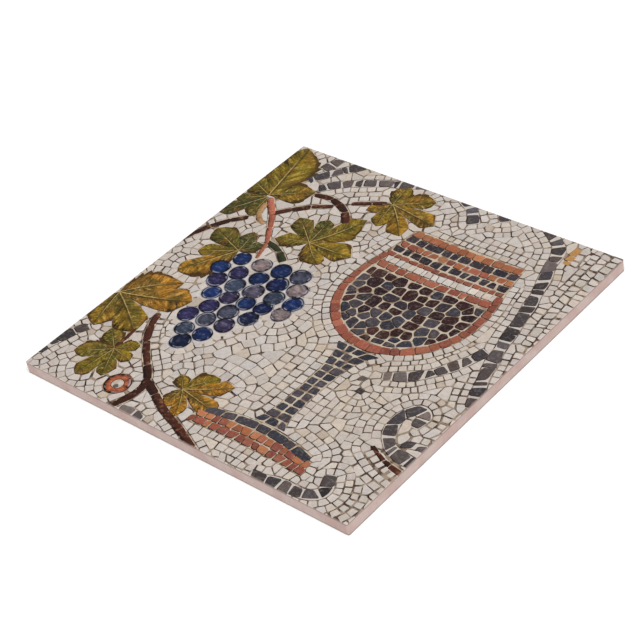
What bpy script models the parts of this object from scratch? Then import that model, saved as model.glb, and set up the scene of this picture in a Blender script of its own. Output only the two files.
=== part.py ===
"""Square wall tile of pressed and fired clay.

The slab lies on its back, face up, centred on the origin, with the underside at Z = 0. Its face and its rim
are plain, and its back has a field of shallow pockets between ribs, which key it to a bed of adhesive.
Lengths are in metres.
"""

import math

import bmesh
import bpy
from mathutils import Matrix, Vector

MM = 0.001

# Slab
TILE_SIDE = 152.4 * MM
TILE_THICKNESS = 5.0 * MM
UPRIGHT_CORNER_RADIUS = 0.7 * MM
FACE_RIM_RADIUS = 0.25 * MM
BACK_RIM_RADIUS = 0.3 * MM
UPRIGHT_CORNER_STEPS = 8
RIM_STEPS = 4

# Back
BACK_BORDER = 8.0 * MM
RIB_WIDTH = 4.0 * MM
POCKETS_PER_SIDE = 6
POCKET_DEPTH = 0.7 * MM
POCKET_CORNER_RADIUS = 2.0 * MM
POCKET_CORNER_STEPS = 4
POCKET_WALL_SLOPE = math.radians(35.0)

# How far a cutter reaches past the surface that it opens
CUT_CLEARANCE = 0.5 * MM

# Edges that turn by more than this stay crisp
SHARP_ANGLE = math.radians(40.0)

CLAY_COLOUR = (0.52, 0.39, 0.35, 1.0)
CLAY_ROUGHNESS = 0.75


def clear_scene():
    """Take away whatever the scene holds."""
    for scene_object in list(bpy.data.objects):
        bpy.data.objects.remove(scene_object, do_unlink=True)


def fired_clay():
    """Pinkish beige fired clay, unglazed and matt."""
    material = bpy.data.materials.new("fired_clay")
    material.use_nodes = True
    shader = material.node_tree.nodes["Principled BSDF"]
    shader.inputs["Base Color"].default_value = CLAY_COLOUR
    shader.inputs["Roughness"].default_value = CLAY_ROUGHNESS
    shader.inputs["Metallic"].default_value = 0.0
    return material


def object_from(name, shape):
    """A scene object that holds the given shape."""
    mesh = bpy.data.meshes.new(name)
    shape.to_mesh(mesh)
    shape.free()
    made = bpy.data.objects.new(name, mesh)
    bpy.context.collection.objects.link(made)
    return made


def upright_edges(vertices):
    """The edges among these vertices that join the upper face to the lower one."""
    edges = {edge for vertex in vertices for edge in vertex.link_edges}
    return [edge for edge in edges if abs(edge.verts[0].co.z - edge.verts[1].co.z) > 1e-6]


def rim_edges(shape, height):
    """The edges of the outline at one height."""
    return [edge for edge in shape.edges if all(abs(end.co.z - height) < 1e-7 for end in edge.verts)]


def round_over(shape, edges, radius, steps):
    """Round the given edges to a radius."""
    bmesh.ops.bevel(
        shape, geom=edges, offset=radius, offset_type="OFFSET", segments=steps, profile=0.5, affect="EDGES"
    )


def slab():
    """The pressed slab: a square with rounded corners, and a small radius along the face and the back."""
    shape = bmesh.new()
    stretch = Matrix.Diagonal((TILE_SIDE, TILE_SIDE, TILE_THICKNESS, 1.0))
    lift = Matrix.Translation((0.0, 0.0, TILE_THICKNESS / 2))
    cube = bmesh.ops.create_cube(shape, size=1.0, matrix=lift @ stretch)
    round_over(shape, upright_edges(cube["verts"]), UPRIGHT_CORNER_RADIUS, UPRIGHT_CORNER_STEPS)
    round_over(shape, rim_edges(shape, TILE_THICKNESS), FACE_RIM_RADIUS, RIM_STEPS)
    round_over(shape, rim_edges(shape, 0.0), BACK_RIM_RADIUS, RIM_STEPS)
    return shape


def add_pocket_cutter(shape, centre, width):
    """One pocket's cutter: a square block with round corners, narrower where it is deeper."""
    block_height = POCKET_DEPTH + CUT_CLEARANCE
    stretch = Matrix.Diagonal((width, width, block_height, 1.0))
    place = Matrix.Translation(centre + Vector((0.0, 0.0, POCKET_DEPTH - block_height / 2)))
    cube = bmesh.ops.create_cube(shape, size=1.0, matrix=place @ stretch)
    rounded = bmesh.ops.bevel(
        shape,
        geom=upright_edges(cube["verts"]),
        offset=POCKET_CORNER_RADIUS,
        offset_type="OFFSET",
        segments=POCKET_CORNER_STEPS,
        profile=0.5,
        affect="EDGES",
    )
    outline = {vertex for face in rounded["faces"] for vertex in face.verts}
    for vertex in outline:
        height = vertex.co.z
        share = 1.0 - 2.0 * height * math.tan(POCKET_WALL_SLOPE) / width
        vertex.co.x = centre.x + (vertex.co.x - centre.x) * share
        vertex.co.y = centre.y + (vertex.co.y - centre.y) * share


def pocket_cutters():
    """The cutters of every pocket, between the ribs and inside the border."""
    field = TILE_SIDE - 2 * BACK_BORDER
    width = (field - (POCKETS_PER_SIDE - 1) * RIB_WIDTH) / POCKETS_PER_SIDE
    pitch = width + RIB_WIDTH
    first = -(POCKETS_PER_SIDE - 1) * pitch / 2
    shape = bmesh.new()
    for row in range(POCKETS_PER_SIDE):
        for column in range(POCKETS_PER_SIDE):
            centre = Vector((first + column * pitch, first + row * pitch, 0.0))
            add_pocket_cutter(shape, centre, width)
    return shape


def cut(body, cutter):
    """Cut one object out of another, and keep the cutter as a guide that doesn't render."""
    cutter.hide_render = True
    cutter.display_type = "WIRE"
    cutter.parent = body
    difference = body.modifiers.new("pockets", "BOOLEAN")
    difference.operation = "DIFFERENCE"
    difference.solver = "EXACT"
    difference.object = cutter


def ceramic_tile():
    """The whole tile, one solid."""
    tile = object_from("ceramic_tile", slab())
    tile.data.materials.append(fired_clay())
    tile.data.shade_smooth()
    tile.data.set_sharp_from_angle(angle=SHARP_ANGLE)
    cut(tile, object_from("pocket_cutters", pocket_cutters()))
    return tile


clear_scene()
ceramic_tile()
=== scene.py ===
# %% [markdown]
# A square ceramic tile lies face up. Its slab of fired clay comes ready made as the frame, and stays as it
# is. What this lesson adds is everything that the eye sees on it: the bare clay of the sides and the back,
# and the glazed face with a picture of a mosaic, a vine with grapes beside a goblet. The picture is only
# colour under a smooth glaze, so it is made as one flat, thin sheet that lies on the slab, divided into its
# little stones.

# %% Load the slab
import math

import bpy
import numpy as np
from mathutils import Matrix, Vector, geometry


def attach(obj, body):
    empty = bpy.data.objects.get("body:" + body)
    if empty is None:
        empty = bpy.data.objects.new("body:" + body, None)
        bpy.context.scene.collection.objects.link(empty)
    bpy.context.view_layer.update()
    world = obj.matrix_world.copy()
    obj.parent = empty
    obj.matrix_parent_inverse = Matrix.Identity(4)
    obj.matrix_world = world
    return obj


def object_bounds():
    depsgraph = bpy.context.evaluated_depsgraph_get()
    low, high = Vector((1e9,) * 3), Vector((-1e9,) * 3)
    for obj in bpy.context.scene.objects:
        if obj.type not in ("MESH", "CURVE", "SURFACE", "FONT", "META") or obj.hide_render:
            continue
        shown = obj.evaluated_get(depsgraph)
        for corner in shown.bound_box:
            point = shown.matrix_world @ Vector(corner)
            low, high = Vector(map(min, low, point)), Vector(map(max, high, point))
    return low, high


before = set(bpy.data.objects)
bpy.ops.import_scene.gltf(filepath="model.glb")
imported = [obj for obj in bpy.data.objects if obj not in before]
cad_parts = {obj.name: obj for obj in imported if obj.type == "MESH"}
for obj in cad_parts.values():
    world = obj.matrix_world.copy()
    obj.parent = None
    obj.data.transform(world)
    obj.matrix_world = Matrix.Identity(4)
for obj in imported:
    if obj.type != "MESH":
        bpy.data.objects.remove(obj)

MM = 0.001
cad_low, cad_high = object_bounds()
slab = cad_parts["ceramic_tile"]
print("slab, mm:", [round(size / MM, 2) for size in cad_high - cad_low])

# %% [markdown]
# The camera stands in front of the tile's lower right edge and looks down on it at about 38 degrees. Its
# place and its lens were worked out from the four corners of the face, taking the tile as a true square. A
# camera placed by hand would be aimed with a constraint. Here its three axes are written out, because it
# also leans.

# %% Camera
CAMERA_PLACE = Vector((381.95, -341.7, 405.2)) * MM
CAMERA_LOOKS = Vector((-0.5856, 0.5220, -0.6201))
CAMERA_LEAN = math.radians(-11.72)
CAMERA_LENS = 102.55


def add_camera():
    """Stand the camera at its place, looking the given way and leaning to one side."""
    bpy.ops.object.camera_add(location=CAMERA_PLACE)
    camera = bpy.context.object
    camera.name = "camera"
    camera.data.lens = CAMERA_LENS
    camera.data.clip_start = 10 * MM
    ahead = CAMERA_LOOKS.normalized()
    level = ahead.cross(Vector((0, 0, 1))).normalized()
    upward = level.cross(ahead)
    right = level * math.cos(CAMERA_LEAN) + upward * math.sin(CAMERA_LEAN)
    above = right.cross(ahead)
    turn = Matrix((right, above, -ahead)).transposed()
    camera.rotation_euler = turn.to_euler()
    bpy.context.scene.camera = camera


add_camera()
print("camera stands", round((CAMERA_PLACE - Vector((0, 0, cad_high.z))).length / MM), "mm from the face")

# %% [markdown]
# The tile lies in soft light on a white ground that shows almost no shadow, and the glaze shows no glare.
# One broad, far lamp above the near corner does both: it lights the face and the two near sides evenly, and
# its mirror image in the glaze goes away from the camera. Several area lamps would do as well, but they are
# more to balance. A dim even sky fills the rest. The plain colour transform keeps the ground white and the
# stones at the colours that they are given.

# %% Floor and light
FLOOR_WIDTH = 6000 * MM
PAPER_WHITE = (0.93, 0.93, 0.93, 1)
PAPER_ROUGHNESS = 0.9
PAPER_GLOSS = 0.2
SKY_STRENGTH = 0.3
LAMP_SPREAD = math.radians(50)
LAMP_PLACE = Vector((500, -320, 1300)) * MM
LAMP_POWER = 3.0


def add_floor():
    """A plain pale floor under the tile."""
    bpy.ops.mesh.primitive_plane_add(size=FLOOR_WIDTH, location=(0, 0, 0))
    floor = bpy.context.object
    floor.name = "floor"
    paper = bpy.data.materials.new("pale_paper")
    paper.use_nodes = True
    shader = paper.node_tree.nodes["Principled BSDF"]
    shader.inputs["Base Color"].default_value = PAPER_WHITE
    shader.inputs["Roughness"].default_value = PAPER_ROUGHNESS
    shader.inputs["Specular IOR Level"].default_value = PAPER_GLOSS
    floor.data.materials.append(paper)


def add_light():
    """A dim even sky and one broad lamp."""
    scene = bpy.context.scene
    scene.world = bpy.data.worlds.new("studio")
    scene.world.use_nodes = True
    sky = scene.world.node_tree.nodes["Background"]
    sky.inputs["Color"].default_value = (1, 1, 1, 1)
    sky.inputs["Strength"].default_value = SKY_STRENGTH
    bpy.ops.object.light_add(type="SUN", location=LAMP_PLACE)
    lamp = bpy.context.object
    lamp.name = "broad_lamp"
    lamp.data.angle = LAMP_SPREAD
    lamp.data.energy = LAMP_POWER
    lamp.rotation_euler = (-LAMP_PLACE).to_track_quat("-Z", "Y").to_euler()
    scene.view_settings.view_transform = "Standard"


add_floor()
add_light()
print("lamp stands", round(LAMP_PLACE.length / MM), "mm away")

# %% [markdown]
# Every finish below is a small tree of shader nodes. Wiring such a tree by hand takes a line for each node
# and one for each link, so two small classes do it. The first stands for a wire, which is one output of a
# node, and lets Python's own signs add the Math nodes. The reflected forms are there so that a number may
# stand first, as in 1 - mask.

# %% Wires


class Wire:
    """One output of a shader node, which sums, products and powers can be written on."""

    def __init__(self, finish, socket):
        self.finish = finish
        self.socket = socket

    def maths(self, operation, first, second=0.0):
        """Add a Math node for one operation on one or two values."""
        return self.finish.add("ShaderNodeMath", {"operation": operation}, {0: first, 1: second})

    def __add__(self, other):
        return self.maths("ADD", self, other)

    def __sub__(self, other):
        return self.maths("SUBTRACT", self, other)

    def __rsub__(self, other):
        return self.maths("SUBTRACT", other, self)

    def __mul__(self, other):
        return self.maths("MULTIPLY", self, other)

    def __pow__(self, other):
        return self.maths("POWER", self, other)

    def __abs__(self):
        return self.maths("ABSOLUTE", self)

    __radd__ = __add__
    __rmul__ = __mul__


# %% [markdown]
# The second class stands for a finish, which is a material round one Principled shader. Its method add
# takes the kind of a node, its settings and its inputs, so that any node is had in one line. The methods
# after it are the small groups of nodes that the finishes need: noise, a soft step, a mix of two colours, a
# value that the mesh carries, and a bump.

# %% Finishes


class Finish:
    """A material that is built node by node, around one Principled shader."""

    def __init__(self, name, roughness, gloss):
        self.material = bpy.data.materials.new(name)
        self.material.use_nodes = True
        self.tree = self.material.node_tree
        self.shader = self.tree.nodes["Principled BSDF"]
        self.shader.inputs["Roughness"].default_value = roughness
        self.shader.inputs["Specular IOR Level"].default_value = gloss

    def feed(self, socket, value):
        """Link a wire to an input, or write a plain value into it."""
        if isinstance(value, Wire):
            self.tree.links.new(value.socket, socket)
        else:
            socket.default_value = value

    def add(self, kind, settings=None, inputs=None, output=0):
        """Add a node of a kind, with its settings first and its inputs after them."""
        node = self.tree.nodes.new(kind)
        for name, value in (settings or {}).items():
            setattr(node, name, value)
        for name, value in (inputs or {}).items():
            self.feed(node.inputs[name], value)
        return Wire(self, node.outputs[output])

    def noise(self, scale, detail, where=None, roughness=0.5):
        """Noise with so many waves a metre over the object, or a unit over a given vector."""
        if where is None:
            where = self.add("ShaderNodeTexCoord", output="Object")
        waves = {"Vector": where, "Scale": scale, "Detail": detail, "Roughness": roughness}
        return self.add("ShaderNodeTexNoise", None, waves)

    def step(self, value, start, end):
        """A soft step that rises from 0 at start to 1 at end."""
        span = {"Value": value, "From Min": start, "From Max": end}
        return self.add("ShaderNodeMapRange", {"interpolation_type": "SMOOTHSTEP"}, span)

    def blend(self, share, first, second, how="MIX"):
        """Mix two colours, or multiply one by the other."""
        settings = {"data_type": "RGBA", "blend_type": how}
        return self.add("ShaderNodeMix", settings, {0: share, 6: first, 7: second}, output=2)

    def shade(self, colour, level):
        """A colour made lighter or darker by a number."""
        grey = self.add("ShaderNodeCombineColor", None, {0: level, 1: level, 2: level})
        return self.blend(1.0, colour, grey, how="MULTIPLY")

    def attribute(self, name, output):
        """A value that the mesh carries under a name."""
        return self.add("ShaderNodeAttribute", {"attribute_name": name}, output=output)

    def parts(self, vector):
        """The three numbers of a vector."""
        first = self.add("ShaderNodeSeparateXYZ", None, {0: vector})
        return [Wire(self, output) for output in first.socket.node.outputs]

    def bump(self, height, distance, strength):
        """Let a height stand in the surface normal."""
        relief = {"Height": height, "Distance": distance, "Strength": strength}
        self.feed(self.shader.inputs["Normal"], self.add("ShaderNodeBump", None, relief))


# %% [markdown]
# Colours are easiest to name as a screen shows them, from 0 to 255. A shader reckons with linear light, so
# each level is bent back by the screen's own curve first.

# %% Colours by name


def painted(red, green, blue):
    """A colour as a screen shows it, from 0 to 255, made linear for the shader."""
    levels = [level / 255 for level in (red, green, blue)]
    return tuple([((level + 0.055) / 1.055) ** 2.4 for level in levels] + [1.0])


print("mid grey, 128 of 255, is", round(painted(128, 128, 128)[0], 3), "in linear light")


# %% [markdown]
# The slab is pressed from powdered clay and fired, which leaves it pinkish beige, matt and faintly grainy,
# with pinker clouds and a few dark specks of iron. A painted contact shadow darkens its lower edge where it
# meets the floor, and the clay is darker in a thin band just below the glaze. A picture of clay could be
# wrapped round it, but noise that reads the slab's own coordinates has no seam at the corners. The frame's
# own mesh is right as it is, so only a better material goes on it.

# %% Fired clay
CLAY_PALE = painted(208, 187, 179)
CLAY_PINK = painted(201, 174, 166)
CLAY_SPECK = painted(150, 122, 110)
CONTACT_SHADOW_HEIGHT = 1.0 * MM
CLAY_TOP_HEIGHT = 4.25 * MM
CLAY_TOP_BAND = 0.4 * MM
CLAY_GRAIN = 0.06 * MM


def fired_clay():
    """Bare fired clay for the sides and the back."""
    clay = Finish("fired_clay_bare", roughness=0.8, gloss=0.3)
    place = clay.add("ShaderNodeTexCoord", output="Object")
    height = clay.parts(place)[2]
    clouds = clay.step(clay.noise(120, 3.0), 0.35, 0.65)
    colour = clay.blend(clouds, CLAY_PALE, CLAY_PINK)
    specks = clay.step(clay.noise(1900, 2.0), 0.68, 0.74)
    colour = clay.blend(specks * 0.6, colour, CLAY_SPECK)
    grain = clay.noise(2600, 4.0, roughness=0.7)
    # painted contact shadow: the clay is darkened along its lower edge, where it meets the floor
    painted_contact_shadow = 1 - clay.step(height, 0.0, CONTACT_SHADOW_HEIGHT)
    # the clay is darker in a thin band just below the glaze
    upper_edge = clay.step(height, CLAY_TOP_HEIGHT, CLAY_TOP_HEIGHT + CLAY_TOP_BAND)
    level = 0.7 + grain * 0.2 + clay.noise(420, 2.0) * 0.16 - painted_contact_shadow * 0.44 - upper_edge * 0.34
    clay.feed(clay.shader.inputs["Base Color"], clay.shade(colour, level))
    clay.feed(clay.shader.inputs["Roughness"], 0.72 + grain * 0.2)
    clay.bump(grain, CLAY_GRAIN, 0.6)
    return clay.material


slab.data.materials.clear()
slab.data.materials.append(fired_clay())
print("slab finish:", slab.data.materials[0].name)

# %% [markdown]
# The picture is laid out like a real mosaic, stone by stone, in millimetres from the centre of the face, X
# to the right and Y up the picture. A stone is kept as a Patch: its outline, its finish and colour, and a
# small frame of its own, which later tells the shader where each point lies within it. Patches may overlap,
# like sheets of paper on a table: LAYERS names them from the top down, and the upper one shows.
# RELIEF_LIGHT points to where the painted light comes from. Random draws come from one seeded generator,
# so the same mosaic is laid on every run.

# %% Patches
rng = np.random.default_rng(41)
RELIEF_LIGHT = np.array((0.35, 0.94))
LEAST_REACH = 0.05
LAYERS = [
    "ring_chip",
    "ring_hole",
    "ring_shadow",
    "figure",
    "leaf",
    "leaf_shadow",
    "ground_stone",
    "grape_rind",
    "leaf_mortar",
    "ground_shadow",
    "figure_shadow",
    "scroll_mortar",
    "figure_mortar",
    "grape_halo",
]
patches = []


class Patch:
    """One area of the picture with one finish, such as a stone, a grape or a lobe of a leaf."""

    def __init__(
        self, outline, finish, tint, centre=None, axis=(1.0, 0.0), half=None, layer="figure", place=None
    ):
        self.outline = np.asarray(outline, float)
        self.finish = finish
        self.tint = tuple(tint)[:3]
        self.rank = LAYERS.index(layer)
        self.place = place
        self.centre = self.outline.mean(0) if centre is None else np.asarray(centre, float)
        self.axis = np.asarray(axis, float) / np.hypot(*axis)
        self.across = np.array((-self.axis[1], self.axis[0]))
        self.chance = rng.random()
        self.half = self.reach() if half is None else half

    def reach(self):
        """How far the outline goes from the centre, along the axis and across it."""
        away = self.outline - self.centre
        along, across = abs(away @ self.axis).max(), abs(away @ self.across).max()
        return max(LEAST_REACH, along), max(LEAST_REACH, across)

    def within(self, points):
        """Where points lie in the patch: along and across as shares of its reach, and a third measure."""
        away = points - self.centre
        along, across = away @ self.axis, away @ self.across
        if self.place:
            return self.place(along, across)
        return along / self.half[0], across / self.half[1], 0.0 * along


print("layers:", len(LAYERS))


# %% [markdown]
# The colours are those of a traditional stone mosaic: limestone for the ground, brick for the outlines,
# slate and basalt for the dark bands, blue glass for the grapes. Each name holds a few shades. Every stone
# takes one of them at random and varies it a little, as stones from one heap do, because thousands of
# stones are too many to be coloured by hand.

# %% Colours of the stones
CREAM = [painted(208, 198, 190)] * 4
CREAM += [painted(202, 191, 183), painted(206, 198, 192), painted(210, 198, 186)]
TAN = [painted(200, 184, 168), painted(194, 178, 162), painted(204, 190, 176)]
BRICK = [painted(150, 82, 64), painted(138, 74, 60), painted(160, 94, 72)]
TERRACOTTA = [painted(172, 104, 68), painted(160, 94, 64), painted(184, 118, 80)]
DARK_SLATE = [painted(52, 46, 54), painted(44, 38, 46), painted(64, 56, 60)]
SLATE = [painted(62, 60, 68), painted(52, 52, 62), painted(76, 70, 76)]
MAROON = [painted(54, 28, 28), painted(46, 26, 30), painted(66, 40, 38)]
BASALT = [painted(80, 72, 72), painted(66, 60, 62), painted(100, 90, 88)]
OCHRE = [painted(198, 150, 72), painted(188, 140, 84)]
RING_RED = painted(178, 98, 66)
VINE_WOOD = [painted(64, 31, 22), painted(76, 38, 27), painted(54, 27, 20)]
TENDRIL = [painted(176, 106, 84), painted(168, 96, 76)]
DRY_TENDRIL = [painted(178, 140, 96), painted(168, 128, 90)]
STALK = [painted(52, 56, 34)]
GRAPES = {
    "blue": [painted(18, 38, 82), painted(20, 44, 92)],
    "deep": [painted(14, 28, 72), painted(20, 28, 58)],
    "indigo": [painted(46, 42, 82), painted(52, 44, 72), painted(38, 40, 76)],
    "slate": [painted(66, 68, 84), painted(56, 64, 82)],
    "dusk": [painted(82, 76, 92)],
    "mauve": [painted(132, 116, 116)],
}
GRAPE_RIND = painted(150, 146, 156)
BED_PALE = painted(200, 186, 166)
BED_DARK = painted(48, 34, 26)


def varied(colours, spread=0.06):
    """One of a few colours, made a little lighter or darker."""
    colour = np.array(colours[rng.integers(len(colours))][:3])
    warmth = 1 + rng.normal(0, spread / 4)
    level = 1 + rng.normal(0, spread)
    return tuple(np.clip(colour * level * (warmth, 1.0, 1 / warmth), 0.0, 1.0))


print("shades of the ground:", len(set(CREAM + TAN)))


# %% [markdown]
# Most figures of a mosaic are rows of stones along a line. The line could be drawn as a curve object with a
# few handles. A formula gives the same smooth curve through a few given points, and at once the even steps
# along it that the rows need.

# %% Routes
ROUTE_STEP = 0.3
SPAN_STEPS = 24


def run_along(line):
    """How far along a line each of its points lies."""
    return np.concatenate(([0], np.cumsum(np.hypot(*np.diff(line, axis=0).T))))


def route(points):
    """Points at an even step along a smooth curve through a few given points."""
    knots = np.array([points[0]] + list(points) + [points[-1]], float)
    spans = []
    for p0, p1, p2, p3 in zip(knots, knots[1:], knots[2:], knots[3:]):
        t = np.linspace(0, 1, SPAN_STEPS, endpoint=False)[:, None]
        bend = (2 * p0 - 5 * p1 + 4 * p2 - p3) * t**2 + (3 * p1 - p0 - 3 * p2 + p3) * t**3
        spans.append(0.5 * (2 * p1 + (p2 - p0) * t + bend))
    fine = np.vstack(spans + [knots[-1:]])
    run = run_along(fine)
    even = np.linspace(0, run[-1], max(2, round(run[-1] / ROUTE_STEP)))
    return np.stack([np.interp(even, run, fine[:, 0]), np.interp(even, run, fine[:, 1])], 1)


def sideways(line):
    """Unit vectors to the left of each point of a line."""
    ahead = np.gradient(line, axis=0)
    ahead /= np.hypot(*ahead.T)[:, None]
    return np.stack([-ahead[:, 1], ahead[:, 0]], 1)


print("a straight route of 20 mm has", len(route([(0, 0), (10, 0), (20, 0)])), "points")


# %% [markdown]
# A mosaic's stone is chipped by hand, so its corners are knocked off, and it is drawn in a little to leave
# a joint. Under most stones of a figure lies a dark patch, slightly larger and lower than the stone. Only
# its edge shows, as the shadow in the joint, which is how a flat picture looks as if it stood out.

# %% One stone
SHADOW_FALL = np.array((-0.12, -0.26))
SHADOW_BROADER = 0.16
MOST_DRAWN_IN = 0.4


def knock_corners(outline, share):
    """Cut each corner of an outline off by a share of its edges."""
    after = np.roll(outline, -1, axis=0)
    cut = np.stack([outline * (1 - share) + after * share, outline * share + after * (1 - share)], 1)
    return cut.reshape(-1, 2)


def shrink(outline, by):
    """Draw the corners of an outline towards its middle by a distance."""
    away = outline - outline.mean(0)
    length = np.hypot(*away.T)[:, None]
    return outline - away / length * np.minimum(by, length * MOST_DRAWN_IN)


def lay_stone(outline, tint, axis=(1.0, 0.0), finish="stone", shadow=0.7):
    """Lay one stone of a figure, and under most of them the shadow that shows in the joint."""
    patches.append(Patch(outline, finish, tint, axis=axis))
    if rng.random() < shadow:
        fallen = shrink(outline, -SHADOW_BROADER) + SHADOW_FALL
        patches.append(Patch(fallen, "shadow", BED_DARK, layer="figure_shadow"))


# %% [markdown]
# A row cuts its route into stones of about one length. By hand one would copy a stone along the curve and
# push the copies about, and the function does just that: the joints slant and wander a little, and every
# corner is a little off, as no setter cuts them true. A row's manner can be set: the joint, how far the
# cuts wobble, how rough the corners are, how far the colours spread, the share of stones with a shadow, and
# how much the joints slant. A ribbon along the same route gives the row its bed, which keeps the ground's
# stones out.

# %% Rows and beds
JOINT_TO_CORNER = 0.6
CHIP_CORNER = 0.12


def lay_row(
    line,
    width,
    length,
    colours,
    joint,
    wobble=0.12,
    rough=0.08,
    spread=0.09,
    finish="stone",
    shadow=0.7,
    slant=0.15,
):
    """Lay stones end to end along a line. The width may change along it, and the joints slant a little."""
    widths = np.broadcast_to(width, len(line)) / 2
    left = sideways(line)
    run = run_along(line)
    count = max(1, round(run[-1] / length))
    cuts = np.linspace(0, run[-1], count + 1)
    cuts[1:-1] += rng.normal(0, wobble, count - 1) * length
    lean = rng.normal(0, slant, count + 1)
    marks = [np.searchsorted(run, cuts + side * lean).clip(0, len(line) - 1) for side in (1, -1)]
    for (start, back), (end, front) in zip(np.transpose(marks), np.transpose(marks)[1:]):
        if end <= start or front <= back:
            continue
        near = [line[i] + left[i] * widths[i] for i in (start, (start + end) // 2, end)]
        far = [line[i] - left[i] * widths[i] for i in (front, (front + back) // 2, back)]
        chip = shrink(np.array(near + far), joint * JOINT_TO_CORNER)
        chip += rng.normal(0, rough, chip.shape)
        chip = knock_corners(chip[geometry.convex_hull_2d(chip.tolist())], CHIP_CORNER)
        lay_stone(chip, varied(colours, spread), line[end] - line[start], finish, shadow)


def ribbon(line, width):
    """The outline of a band along a line."""
    offset = sideways(line) * (np.broadcast_to(width, len(line)) / 2)[:, None]
    return np.vstack([line + offset, (line - offset)[::-1]])


beds = []


def lay_bed(outline, pale=True):
    """Room for a figure, where the ground's stones keep out, with pale mortar in it or the ground's own."""
    beds.append(np.asarray(outline, float))
    if pale:
        patches.append(Patch(outline, "pale_bed", BED_PALE, layer="figure_mortar"))


# %% [markdown]
# The goblet is the simple footed shape that mosaics of many times and places show. Its bowl is an ellipse
# cut off at the shoulder, and the rim goes on from there and leans in a little. Bands of terracotta, dark
# slate, brick and cream cross the rim, and one row of brick follows the bowl. Half widths come from one
# formula, so the bands, the wall and the bed all fit the same outline. Each band is given from the top
# down: its height, its colours, the length of a stone, the joint, and the share of stones with a shadow.

# %% Goblet
LINE_POINTS = 60
GOBLET_AXIS = 24.9
BOWL_MIDDLE = 21.0
BOWL_HALF_WIDTH = 29.7
BOWL_DEPTH = 30.0
BOWL_RISE = 42.0
WALL_ABOVE = 2.8
WALL_BELOW = 3.8
SHOULDER = 38.5
RIM_TOP = 54.2
RIM_HALF_WIDTH = 24.6
RIM_BANDS = [
    (3.5, TERRACOTTA, 4.1, 0.34, 1.0),
    (3.6, DARK_SLATE, 5.2, 0.5, 0.2),
    (3.1, TERRACOTTA + BRICK, 3.7, 0.6, 0.7),
    (3.8, DARK_SLATE, 4.4, 0.85, 0.2),
    (2.2, BRICK, 3.6, 0.5, 1.0),
    (3.4, CREAM, 2.8, 0.35, 1.0),
    (3.4, BRICK, 4.6, 0.6, 0.9),
]
BAND_JOINT = 0.12
BAND_SAG = 0.9
WALL_STONE = 4.2
RIM_MARGIN = 0.3
WALL_SWELLS_FROM = 12.0


def bowl_half_width(height):
    """Half the goblet's width at a height."""
    if height > SHOULDER:
        climb = (height - SHOULDER) / (RIM_TOP - SHOULDER)
        return bowl_half_width(SHOULDER) * (1 - climb) + RIM_HALF_WIDTH * climb
    reach = BOWL_DEPTH if height < BOWL_MIDDLE else BOWL_RISE
    return BOWL_HALF_WIDTH * math.sqrt(max(0.0, 1 - ((height - BOWL_MIDDLE) / reach) ** 2))


def bowl_curve(start, end, count=300):
    """Points on the bowl's outer line, between two angles in degrees."""
    angle = np.radians(np.linspace(start, end, count))
    reach = np.where(np.sin(angle) < 0, BOWL_DEPTH, BOWL_RISE)
    return np.stack([GOBLET_AXIS + BOWL_HALF_WIDTH * np.cos(angle), BOWL_MIDDLE + reach * np.sin(angle)], 1)


def wall_within(outer, more=0.0):
    """A line inside the bowl's outer one, by half the wall's width or by all of it and something more."""
    below = BOWL_MIDDLE + WALL_SWELLS_FROM - outer[:, 1]
    depth = np.clip(below / (BOWL_DEPTH + WALL_SWELLS_FROM), 0, 1)
    width = WALL_ABOVE + (WALL_BELOW - WALL_ABOVE) * depth
    inset = width + more if more else width / 2
    return outer - sideways(outer) * inset[:, None], width


def lay_rim():
    """The bands across the goblet's rim, from the top down. Returns the height below them."""
    top = RIM_TOP
    for height, colours, length, joint, shadow in RIM_BANDS:
        middle = top - height / 2
        inset = RIM_MARGIN if middle > SHOULDER else WALL_ABOVE + BAND_JOINT
        half = bowl_half_width(middle) - inset
        across = np.linspace(-1, 1, LINE_POINTS)
        line = np.stack([GOBLET_AXIS + half * across, middle - BAND_SAG * (1 - across**2)], 1)
        manner = {"joint": joint, "wobble": 0.14, "rough": 0.14, "spread": 0.12, "shadow": shadow}
        lay_row(line, height, length, colours, **manner)
        top -= height + BAND_JOINT
    return top - BAND_SAG


def goblet_outline():
    """The outline of the bowl and the rim together."""
    heights = np.linspace(RIM_TOP, SHOULDER, 8)
    right = np.array([(GOBLET_AXIS + bowl_half_width(y), y) for y in heights])
    start = math.degrees(math.asin((SHOULDER - BOWL_MIDDLE) / BOWL_RISE))
    bowl = bowl_curve(start, -180 - start, count=120)
    left = right[::-1] * (-1, 1) + (2 * GOBLET_AXIS, 0)
    return np.vstack([right, bowl[1:-1], left])


lay_bed(goblet_outline())
wine_top = lay_rim()
wall_start = math.degrees(math.asin((SHOULDER - RIM_MARGIN - BOWL_MIDDLE) / BOWL_RISE))
wall_line, wall_width = wall_within(bowl_curve(wall_start, -180 - wall_start))
manner = {"joint": 0.28, "wobble": 0.16, "rough": 0.14, "spread": 0.13, "shadow": 1.0}
lay_row(wall_line, wall_width, WALL_STONE, BRICK, **manner)
print("goblet: wine starts at", round(wine_top, 1), "mm up the picture")

# %% [markdown]
# The stem is two columns of slate, with more stones side by side where it spreads to meet the bowl and the
# foot. Its half width is a formula in the height, and each course of stones is cut between two heights. The
# foot is three long rows that bend a little, slate above brick, each given by its height, its half width,
# how far its ends sag, the length of a stone and its colours.

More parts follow.
